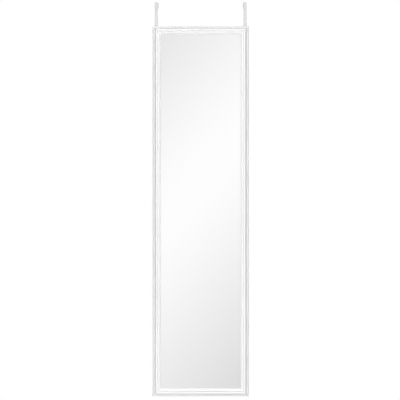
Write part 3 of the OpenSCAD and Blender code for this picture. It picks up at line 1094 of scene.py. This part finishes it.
# %% A lathe tree
def lathe_tree(name, recess=False):
    """Wraps a profile round the axis that faces the door, and sets copies of it in a row."""
    graph, given = new_tree(name, {
        "Steps Around": "Int", "Pitch": "Float", "Thread Depth": "Float", "Count": "Int",
        "First": "Vector", "Step": "Vector", "Seed": "Int",
    })
    around = given.other("Steps Around") + 1.0
    rings = graph.add("GeometryNodeAttributeDomainSize", {"component": "MESH"}, {"Geometry": given})
    grid = graph.add("GeometryNodeMeshGrid", {}, {
        "Size X": 1.0, "Size Y": 1.0, "Vertices X": rings, "Vertices Y": around,
    })
    index = graph.add("GeometryNodeInputIndex")
    station = ((index + 0.5) / around).apply("FLOOR")
    share = (index - station * around) / given.other("Steps Around")
    turn = share * (2 * math.pi)
    profile = graph.add("GeometryNodeSampleIndex", {"data_type": "FLOAT_VECTOR"}, {
        "Geometry": given, "Value": graph.add("GeometryNodeInputPosition"), "Index": station,
    })
    threaded = graph.add("GeometryNodeSampleIndex", {"data_type": "FLOAT"}, {
        "Geometry": given,
        "Value": graph.add("GeometryNodeInputNamedAttribute", {"data_type": "FLOAT"}, {"Name": "thread"}),
        "Index": station,
    })
    radius, height, _ = graph.split(profile)
    phase = (height / given.other("Pitch") - share).apply("FRACT")
    gullet = (2 * phase - 1).apply("ABSOLUTE").at_most(0.75) / 0.75
    radius = radius - given.other("Thread Depth") * threaded * gullet
    wrapped = graph.vector(radius * turn.apply("COSINE"), radius * turn.apply("SINE"), height)
    skin = graph.add("GeometryNodeSetPosition", {}, {"Geometry": grid, "Position": wrapped})
    skin = graph.add("GeometryNodeMergeByDistance", {}, {"Geometry": skin, "Distance": 0.001 * MM})
    if recess:
        skin = cut_recess(graph, skin)
    places = graph.add("GeometryNodeMeshLine", {}, {
        "Count": given.other("Count"),
        "Start Location": given.other("First"),
        "Offset": given.other("Step"),
    })
    spin = graph.add("FunctionNodeRandomValue", {"data_type": "FLOAT"}, {
        "Min": 0.0, "Max": math.pi / 2, "Seed": given.other("Seed"),
    })
    parts = graph.add("GeometryNodeInstanceOnPoints", {}, {
        "Points": places, "Instance": skin, "Rotation": graph.rotation(math.pi / 2, spin, 0.0),
    })
    return end_tree(graph, parts, given)


# %% The cross recess of a screw
RECESS_LEN = 3.8 * MM
RECESS_W = 0.8 * MM
RECESS_DEPTH = 1.1 * MM
RECESS_TAPER = 0.22


def cut_recess(graph, skin):
    """Cuts a cross recess into the top of a screw; its arms narrow towards the floor."""
    arms = []
    for size in ((RECESS_LEN, RECESS_W), (RECESS_W, RECESS_LEN)):
        bar = graph.add("GeometryNodeMeshCube", {}, {"Size": (size[0], size[1], 2 * RECESS_DEPTH)})
        x, y, z = graph.split(graph.add("GeometryNodeInputPosition"))
        narrow = 1.0 - RECESS_TAPER * (z / RECESS_DEPTH)
        arms.append(graph.add("GeometryNodeSetPosition", {}, {
            "Geometry": bar, "Position": graph.vector(x * narrow, y * narrow, z),
        }))
    return graph.add("GeometryNodeMeshBoolean", {"operation": "DIFFERENCE", "solver": "EXACT"}, {
        "Mesh 1": skin, "Mesh 2": arms,
    })


turned_part = lathe_tree("turned_part")
cross_head_screw = lathe_tree("cross_head_screw", recess=True)


# %% Turn a profile and set it in the box of its solid
def profile_object(name, points, threads=()):
    """A chain of edges through (radius, depth) points in mm; threads are 1 where a thread runs."""
    chain = [(i, i + 1) for i in range(len(points) - 1)]
    made = link_mesh(name, [(radius * MM, depth * MM, 0) for radius, depth in points], chain)
    thread = made.data.attributes.new("thread", "FLOAT", "POINT")
    for item, value in zip(thread.data, threads):
        item.value = value
    return made


def turned_sides(name, nodes, tree, profile, radius, count, material, slot, values, seeds=(1, 1)):
    """The left and the right piece: parts of this radius in a row down the box of their solid."""
    for side, seed in zip(("left", "right"), seeds):
        low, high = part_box(nodes + side)
        drop = high.z - low.z - 2 * radius * MM if count > 1 else 0.0
        parts = run_tree(profile_object(name + side, *profile), tree, {
            "Pitch": 1.0,
            "Thread Depth": 0.0,
            "Count": count,
            "First": [(low.x + high.x) / 2, high.y, (low.z + high.z + drop) / 2],
            "Step": [0, 0, -drop],
            "Seed": seed,
            "Material": material,
            **values,
        })
        dress(clean(parts), material, slot, "mirror", nodes + side)


# %% [markdown]
# The screws are short pan heads with a cross recess. Their heads clamp the strap, their threads hold in
# the wood, and the thread fades out at both ends as a rolled one does. A boolean with a helix would leave
# hundreds of thin faces, while a radius that follows a tooth needs eight rings to a turn.

# %% Screws
HEAD_R = 3.4
HEAD_H = 1.9
HEAD_ROUND = 0.9
HEAD_SAG = 0.04
HEAD_EASE = 0.25
HEAD_RIM = 0.2
FLAT_R = 1.2
SHANK_R = 1.75
SHANK_LEN = 10.5
PLAIN_LEN = 1.0
TIP_LEN = 2.5
THREAD_PITCH = 1.35
THREAD_DEPTH = 0.5
THREAD_STEPS = 8
ROUND_STEPS = 6


def screw_profile():
    """A pan head screw from the middle of its head to its tip, with its thread's strength at each point."""
    points = [(0, 0), (FLAT_R, 0.0), (HEAD_R - HEAD_ROUND, HEAD_SAG)]
    for i in range(1, ROUND_STEPS + 1):
        turn = math.pi / 2 * i / ROUND_STEPS
        radius = HEAD_R - HEAD_ROUND * (1 - math.sin(turn))
        points.append((radius, HEAD_SAG + HEAD_ROUND * (1 - math.cos(turn))))
    points += [(HEAD_R, HEAD_H - HEAD_EASE), (HEAD_R - HEAD_RIM, HEAD_H)]
    points += [(SHANK_R + HEAD_EASE, HEAD_H), (SHANK_R, HEAD_H + HEAD_EASE)]
    threads = [0.0] * len(points)
    start, end = HEAD_H + PLAIN_LEN, HEAD_H + SHANK_LEN
    count = round((end - start) / THREAD_PITCH * THREAD_STEPS)
    for i in range(count + 1):
        depth = start + (end - start) * i / count
        taper = min(1.0, (end - depth) / TIP_LEN)
        points.append((SHANK_R * taper ** 0.8, depth))
        threads.append(min(1.0, i / THREAD_STEPS) * taper)
    return points, threads


turned_sides(
    "screw_pair_", "hook_screws_", cross_head_screw, screw_profile(), HEAD_R, 2, bright_zinc, "zinc_steel",
    {"Steps Around": 32, "Pitch": THREAD_PITCH * MM, "Thread Depth": THREAD_DEPTH * MM}, seeds=(3, 8),
)

# %% [markdown]
# The washers are stamped, which rounds the edge of one face more than the other. Their profile comes
# back to its first point, so the lathe makes a ring.

# %% Washers
WASHER_R = 4.5
WASHER_BORE_R = 1.9
WASHER_T = 0.8
WASHER_EASE = 0.12

inside, outside, ease = WASHER_BORE_R, WASHER_R, WASHER_EASE
washer_profile = [
    (inside, ease), (inside + ease, 0), (outside - 2 * ease, 0), (outside, 2 * ease),
    (outside, WASHER_T - ease), (outside - ease, WASHER_T), (inside + ease, WASHER_T),
    (inside, WASHER_T - ease), (inside, ease),
]
turned_sides(
    "washer_pair_", "hook_washers_", turned_part, (washer_profile,), WASHER_R, 2, bright_zinc, "zinc_steel",
    {"Steps Around": 48},
)

# %% [markdown]
# The rubber bumpers keep the frame's foot off the door. They are cast in a cup: a rim that is well
# rounded, a slightly wider foot on the wood, and a shallow dimple in the middle of the free face.

# %% Bumpers
BUMPER_R = 6.0
BUMPER_T = 5.0
BUMPER_ROUND = 1.5
SKIRT_R = 5.75
FOOT_H = 0.3
FOOT_EASE = 0.05
FOOT_SLOPE = 0.2
DIMPLE_R = 2.2
DIMPLE_DEPTH = 0.25
DIMPLE_LIP = 0.06
DIMPLE_EASE = 0.5
RIM_STEPS = 8

bumper_profile = [
    (0, DIMPLE_DEPTH), (0.6 * DIMPLE_R, 0.8 * DIMPLE_DEPTH),
    (DIMPLE_R, DIMPLE_LIP), (DIMPLE_R + DIMPLE_EASE, 0),
]
for i in range(RIM_STEPS + 1):
    turn = math.pi / 2 * i / RIM_STEPS
    radius = SKIRT_R - BUMPER_ROUND * (1 - math.sin(turn))
    bumper_profile.append((radius, BUMPER_ROUND * (1 - math.cos(turn))))
bumper_profile += [
    (BUMPER_R - FOOT_EASE, BUMPER_T - FOOT_H - FOOT_SLOPE), (BUMPER_R, BUMPER_T - FOOT_H),
    (BUMPER_R, BUMPER_T), (0, BUMPER_T),
]
turned_sides(
    "rubber_bumper_", "bumper_", turned_part, (bumper_profile,), BUMPER_R, 1, bumper_rubber, "clear_rubber",
    {"Steps Around": 64},
)

# %% [markdown]
# ## Framing points and corner nails
#
# Both are small stampings that repeat round the frame: flat steel points pushed into the rebate's wall
# over the board, and V-shaped nails driven across each mitre from behind. Each is drawn once, and a
# tree sets copies of it in rows, one row to a side or a corner. A hand-driven point is never quite
# square to its wall, so each gets a small turn of its own from a fixed seed.

# %% Draw one of each
POINT_T = 0.5
POINT_W = 6.0
POINT_REACH = 10.0
POINT_BITE = 4.0
POINT_TAPER = 2.5
POINT_TIP = 0.3
POINT_NIP = 1.5
NOTCH_HALF = 1.0
NOTCH_DEPTH = 1.2
NAIL_LEG = 4.5
NAIL_T = 0.5
NAIL_DEPTH = 5.0


def stamping(name, shape, thickness, ease):
    """A flat outline in millimetres, from y = 0 forwards by its thickness, with softened edges."""
    count = len(shape)
    points = [(x * MM, 0, z * MM) for x, z in shape]
    points += [(x * MM, -thickness * MM, z * MM) for x, z in shape]
    faces = [list(range(count)), list(range(count, 2 * count))]
    faces += [[i, (i + 1) % count, count + (i + 1) % count, count + i] for i in range(count)]
    made = link_mesh(name, points, faces=faces)
    if ease:
        softened = made.modifiers.new("softened edges", "BEVEL")
        softened.width = ease * MM
        softened.segments = 2
    return keep_result(clean(made))


half = POINT_W / 2
right_half = [
    (POINT_TIP, POINT_BITE), (half, POINT_BITE - POINT_TAPER), (half, -POINT_REACH + POINT_NIP),
    (half - POINT_NIP, -POINT_REACH), (NOTCH_HALF, -POINT_REACH),
]
left_half = [(-x, z) for x, z in reversed(right_half)]
notch = [(0, -POINT_REACH + NOTCH_DEPTH)]
framing_point = stamping("framing_point", right_half + notch + left_half, POINT_T, 0.08)
corner_nail = stamping("corner_nail", [
    (0, 0), (NAIL_LEG, 0), (NAIL_LEG, -NAIL_T), (NAIL_T, -NAIL_T), (NAIL_T, -NAIL_LEG), (0, -NAIL_LEG),
], NAIL_DEPTH, 0.06)


# %% [markdown]
# Points and nails differ in how their rows run, not in how a row is made. So one function builds either
# tree: it takes another function that works out each row's turn, count, start and step, and does the
# rest in the same way for both.

# %% A tree that sets rows
def rows_tree(name, inputs, rows):
    """Sets copies of the drawn piece in rows; rows works out each row's turn, count, start and step."""
    graph, given = new_tree(name, {**inputs, "Middle": "Vector", "Wobble": "Float", "Seed": "Int"})
    made = []
    for k, (turn, count, start, step) in enumerate(rows(graph, given)):
        line = graph.add("GeometryNodeMeshLine", {}, {
            "Count": count, "Start Location": start, "Offset": step,
        })
        wobble = graph.add("FunctionNodeRandomValue", {"data_type": "FLOAT"}, {
            "Min": -1.0, "Max": 1.0, "Seed": given.other("Seed") + float(k),
        })
        angle = wobble * given.other("Wobble") + math.radians(turn)
        made.append(graph.add("GeometryNodeInstanceOnPoints", {}, {
            "Points": line, "Instance": given, "Rotation": graph.rotation(0.0, angle, 0.0),
        }))
    joined = graph.add("GeometryNodeJoinGeometry", {}, {"Geometry": made})
    middle = given.other("Middle")
    placed = graph.add("GeometryNodeTransform", {}, {"Geometry": joined, "Translation": middle})
    return end_tree(graph, placed, given)


def point_rows(graph, given):
    """A row on each side: along X on the rails, along Z on the stiles."""
    rows = []
    for kind, along, wall, turns in (
        ("Rail", "Half Width", "Half Height", ((0, 1.0), (180, -1.0))),
        ("Stile", "Half Height", "Half Width", ((-90, -1.0), (90, 1.0))),
    ):
        count = given.other(kind + " Count")
        reach = given.other(along) - given.other(kind + " Margin")
        for turn, way in turns:
            start = [-reach, 0.0, (given.other(wall) - given.other("Wall")) * way]
            step = [2 * reach / (count - 1), 0.0, 0.0]
            if kind == "Stile":
                start.reverse()
                step.reverse()
            rows.append((turn, count, graph.vector(*start), graph.vector(*step)))
    return rows


def nail_rows(graph, given):
    """A row of nails along the mitre of each corner."""
    rows = []
    for turn, side_x, side_z in ((0, -1, 1), (90, 1, 1), (180, 1, -1), (270, -1, -1)):
        outer, pitch = given.other("Outer"), given.other("Pitch")
        x = (given.other("Half Width") - outer) * float(side_x)
        z = (given.other("Half Height") - outer) * float(side_z)
        step = graph.vector(pitch * float(-side_x), 0.0, pitch * float(-side_z))
        rows.append((turn, given.other("Count"), graph.vector(x, 0.0, z), step))
    return rows


# %% Set the points and the nails
point_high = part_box("framing_points")[1]
point_tree = rows_tree("framing_point_rows", {
    "Half Width": "Float", "Half Height": "Float", "Wall": "Float", "Rail Count": "Int",
    "Stile Count": "Int", "Rail Margin": "Float", "Stile Margin": "Float",
}, point_rows)
run_tree(framing_point, point_tree, {
    "Half Width": frame_w / 2,
    "Half Height": frame_h / 2,
    "Wall": frame_w / 2 - point_high.x + POINT_BITE * MM,
    "Rail Count": 2,
    "Stile Count": 5,
    "Rail Margin": 80 * MM,
    "Stile Margin": 140 * MM,
    "Middle": [0, point_high.y, frame_middle.z],
    "Wobble": math.radians(3),
    "Seed": 5,
    "Material": bright_zinc,
})
framing_point.name = "framer_points"
dress(clean(framing_point), bright_zinc, "zinc_steel", "mirror", "framing_points")

nail_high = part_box("corner_v_nails")[1]
nail_tree = rows_tree("corner_nail_rows", {
    "Half Width": "Float", "Half Height": "Float", "Outer": "Float", "Pitch": "Float", "Count": "Int",
}, nail_rows)
nail_places = {
    "Half Width": frame_w / 2,
    "Half Height": frame_h / 2,
    "Outer": frame_w / 2 - nail_high.x,
    "Pitch": 8 * MM,
    "Count": 2,
    "Middle": [0, nail_high.y, frame_middle.z],
    "Wobble": 0.0,
    "Seed": 1,
    "Material": bright_zinc,
}
run_tree(corner_nail, nail_tree, nail_places)
corner_nail.name = "mitre_nails"
dress(clean(corner_nail), bright_zinc, "zinc_steel", "mirror", "corner_v_nails")

# %% [markdown]
# ### The slots over the nails
#
# A V nail is driven a little below the back, so it leaves a slot of its own shape in the wood. The same
# drawing with a hair of room round it, long enough to stick out of the back, is set in the same places
# and cut out of the four lengths. A Boolean gives its new points no attributes, so the paint's edge is
# worked out for them again: on the back it fades in from the outer side, and down a slot the wood is raw.

# %% Cut the slots and hand the lengths over
NAIL_ROOM = 0.05
PAST_BACK = 0.5

far = NAIL_LEG + NAIL_ROOM
near = NAIL_T + NAIL_ROOM
slot_depth = (frame_back - nail_high.y) / MM + NAIL_DEPTH + NAIL_ROOM
slots = stamping("nail_slots", [
    (-NAIL_ROOM, NAIL_ROOM), (far, NAIL_ROOM), (far, -near),
    (near, -near), (near, -far), (-NAIL_ROOM, -far),
], slot_depth + PAST_BACK, 0)
run_tree(slots, nail_tree, {**nail_places, "Middle": [0, frame_back + PAST_BACK * MM, frame_middle.z]})


def bare_again(side):
    """Sets how bare the wood is on the back and down in the slots."""
    bare = side.data.attributes["bare"].data
    painted_edge = (moulding_w / MM - REBATE_W - 2 * ARRIS) * MM
    same_plane = 0.01 * MM
    for vertex, item in zip(side.data.vertices, bare):
        depth = frame_back - vertex.co.y
        from_side = frame_w / 2 - abs(vertex.co.x)
        from_end = frame_h / 2 - abs(vertex.co.z - frame_middle.z)
        if abs(depth) < same_plane:
            item.value = min(1.0, max(0.0, (min(from_side, from_end) - ARRIS * MM) / painted_edge))
        if abs(depth - slot_depth * MM) < same_plane:
            item.value = 1.0


for name, (node, _, paint, _, _) in SIDES.items():
    side = bpy.data.objects[name]
    cut = side.modifiers.new("nail slots", "BOOLEAN")
    cut.object = slots
    cut.solver = "EXACT"
    keep_result(side)
    bare_again(side)
    dress(clean(side), paint, "frame_paint", "mirror", node)
bpy.data.objects.remove(slots)

# %% [markdown]
# ## Room, light and camera
#
# The mirror hangs where a door would hold it: the top of a usual door is about 2.03 m above the floor,
# so that is where the pale floor goes. The room is white. The camera sees it as white by the kind of
# ray, and so does the floor's far part, so that no extra light falls on the object for it.

# %% The floor
DOOR_HEIGHT = 2.03
FLOOR_R = 2.2
FLOOR_STEPS = 96
MIDDLE_WHITE = 0.62
WHITENS_FROM = 0.35 * FLOOR_R
WHITENS_TO = 0.66 * FLOOR_R


def floor_material():
    """A pale floor that takes shadows in the middle and turns into the white room at its rim."""
    made, graph = new_material("pale_floor")
    x, y, _ = graph.split(own_place(graph))
    from_middle = (x * x + y * y).apply("SQRT")
    rays = graph.add("ShaderNodeLightPath", out="Is Camera Ray")
    seen = rays.at_least(rays.other("Is Glossy Ray")).at_least(rays.other("Is Transmission Ray"))
    whiteness = MIDDLE_WHITE + (1 - MIDDLE_WHITE) * from_middle.fade(WHITENS_FROM, WHITENS_TO)
    cloudy = grain(graph, 0.6, detail=3.0)
    lit = graph.add("ShaderNodeBsdfDiffuse", {}, {"Color": mixed(graph, cloudy, grey(0.86), grey(0.90))})
    white = graph.add("ShaderNodeEmission", {}, {"Color": grey(1.0), "Strength": 1.0})
    both = graph.add("ShaderNodeMixShader", {}, {"Fac": whiteness * seen, 1: lit, 2: white})
    graph.add("ShaderNodeOutputMaterial", {}, {"Surface": both})
    return made


rim = [2 * math.pi * i / FLOOR_STEPS for i in range(FLOOR_STEPS)]
floor = link_mesh("floor", [
    (FLOOR_R * math.cos(turn), FLOOR_R * math.sin(turn), -DOOR_HEIGHT) for turn in rim
], faces=[range(FLOOR_STEPS)])
floor.data.materials.append(floor_material())

# %% [markdown]
# A white frame on white is drawn by light alone. Light from all round would wash its section out, so
# nearly all of it comes from one tall narrow strip straight in front: the crests face it and stay
# bright, and every slope that turns aside goes grey. A weak light behind keeps the back readable.
#
# Polished silver has no look of its own and shows what stands before it. Here that is a studio wall,
# brightest along a slanting line, falling off to both sides and lighter again further out. Far to the
# left and right stands a dark flag, as a photographer sets it to give a glossy edge some depth.
#
# The world gives each direction as a vector of length 1. Each pair of numbers below says between which
# two values of one of its parts something fades in.

# %% The white room
REST_LIGHT = 0.02
FRONT_LIGHT = 5.9
FRONT_AHEAD = (0.05, 0.40)
FRONT_ENDS_ASIDE = (0.02, 0.26)
BEHIND_LIGHT = 0.45
BEHIND_AHEAD = (0.10, 0.60)
WALL_BRIGHT = 1.02
WALL_FALL = 1.66
WALL_SLANT = 1.07
WALL_RISE = 0.0164
WALL_SOFT = 0.047
FAR_WALL = 0.40
FAR_WALL_RISE = 0.60
FAR_WALL_MOST = 0.78
FLAG_DARK = 0.6
FLAG_ASIDE = (0.60, 0.85)

world = bpy.data.worlds.new("white_studio")
world.use_nodes = True
bpy.context.scene.world = world
graph = Graph(world.node_tree)
across, ahead, up = graph.split(graph.add("ShaderNodeTexCoord", out="Generated"))
aside = across.apply("ABSOLUTE")
slope = up - WALL_SLANT * across - WALL_RISE
distance = (slope * slope + WALL_SOFT ** 2).apply("SQRT") - WALL_SOFT
far_wall = (FAR_WALL + FAR_WALL_RISE * distance).at_most(FAR_WALL_MOST)
wall = (WALL_BRIGHT - WALL_FALL * distance).at_least(far_wall)
wall = wall * (1 - FLAG_DARK * aside.fade(*FLAG_ASIDE))
strip = (-ahead).fade(*FRONT_AHEAD) * (1 - aside.fade(*FRONT_ENDS_ASIDE))
room = REST_LIGHT + FRONT_LIGHT * strip + BEHIND_LIGHT * ahead.fade(*BEHIND_AHEAD)
rays = graph.add("ShaderNodeLightPath", out="Is Camera Ray")
in_metal = rays.other("Is Glossy Ray").at_least(rays.other("Is Transmission Ray"))
strength = rays + (1 - rays) * (in_metal * wall + (1 - in_metal) * room)
background = graph.add("ShaderNodeBackground", {}, {"Color": grey(1.0), "Strength": strength})
graph.add("ShaderNodeOutputWorld", {}, {"Surface": background})
print("room nodes:", len(world.node_tree.nodes))

# %% [markdown]
# Three soft panels fill what the strip leaves: a large low one lifts the faces that look down, a small
# high one the faces that look up, and one behind picks out the screws and the edges of the back. They
# are hidden from gloss, because a mirror would show them as bright squares.

# %% The lamps
centre = (cad_box[0] + cad_box[1]) / 2
# place, target, size in metres and power in watts
PANELS = {
    "low_panel": ((-0.2, -1.6, 0.15 - DOOR_HEIGHT), (0, 0, centre.z), 1.4, 14.0),
    "high_panel": ((0, -0.9, 0.75), (0, 0, -0.08), 0.8, 2.2),
    "back_panel": ((1.2, 3.0, centre.z + 0.8), centre, 2.0, 20.0),
}
for name, (place, target, size, power) in PANELS.items():
    lamp = bpy.data.lights.new(name, "AREA")
    lamp.size = size
    lamp.energy = power
    panel = bpy.data.objects.new(name, lamp)
    bpy.context.scene.collection.objects.link(panel)
    panel.location = place
    panel.rotation_euler = (Vector(target) - Vector(place)).to_track_quat("-Z", "Y").to_euler()
    panel.visible_glossy = False

# %% [markdown]
# The photograph is taken straight on from far away, so its sides stay parallel. The lens follows from
# the width that the image spans at the frame, and the camera stands a few millimetres off the middle,
# because the object does so in the photograph.

# %% The camera
CAMERA_DISTANCE = 4.0
IMAGE_WIDTH_AT_FRAME = 1.3466
CAMERA_LEFT = 0.0024
CAMERA_DOWN = 0.0029

camera = bpy.data.cameras.new("camera")
camera.sensor_width = 36.0
camera.lens = camera.sensor_width * CAMERA_DISTANCE / IMAGE_WIDTH_AT_FRAME
camera_object = bpy.data.objects.new("camera", camera)
bpy.context.scene.collection.objects.link(camera_object)
camera_object.location = (centre.x - CAMERA_LEFT, cad_box[0].y - CAMERA_DISTANCE, centre.z - CAMERA_DOWN)
camera_object.rotation_euler = (math.radians(90), 0, 0)
bpy.context.scene.camera = camera_object
bpy.context.scene.view_settings.view_transform = "Standard"
print(f"lens {camera.lens:.1f} mm")

# %% [markdown]
# ## Sizes
#
# The dressed object is made to fill the same space as its solids. The cell prints the box of the solids.

# %% Finish
print("solids ", [round(value, 4) for corner in cad_box for value in corner])
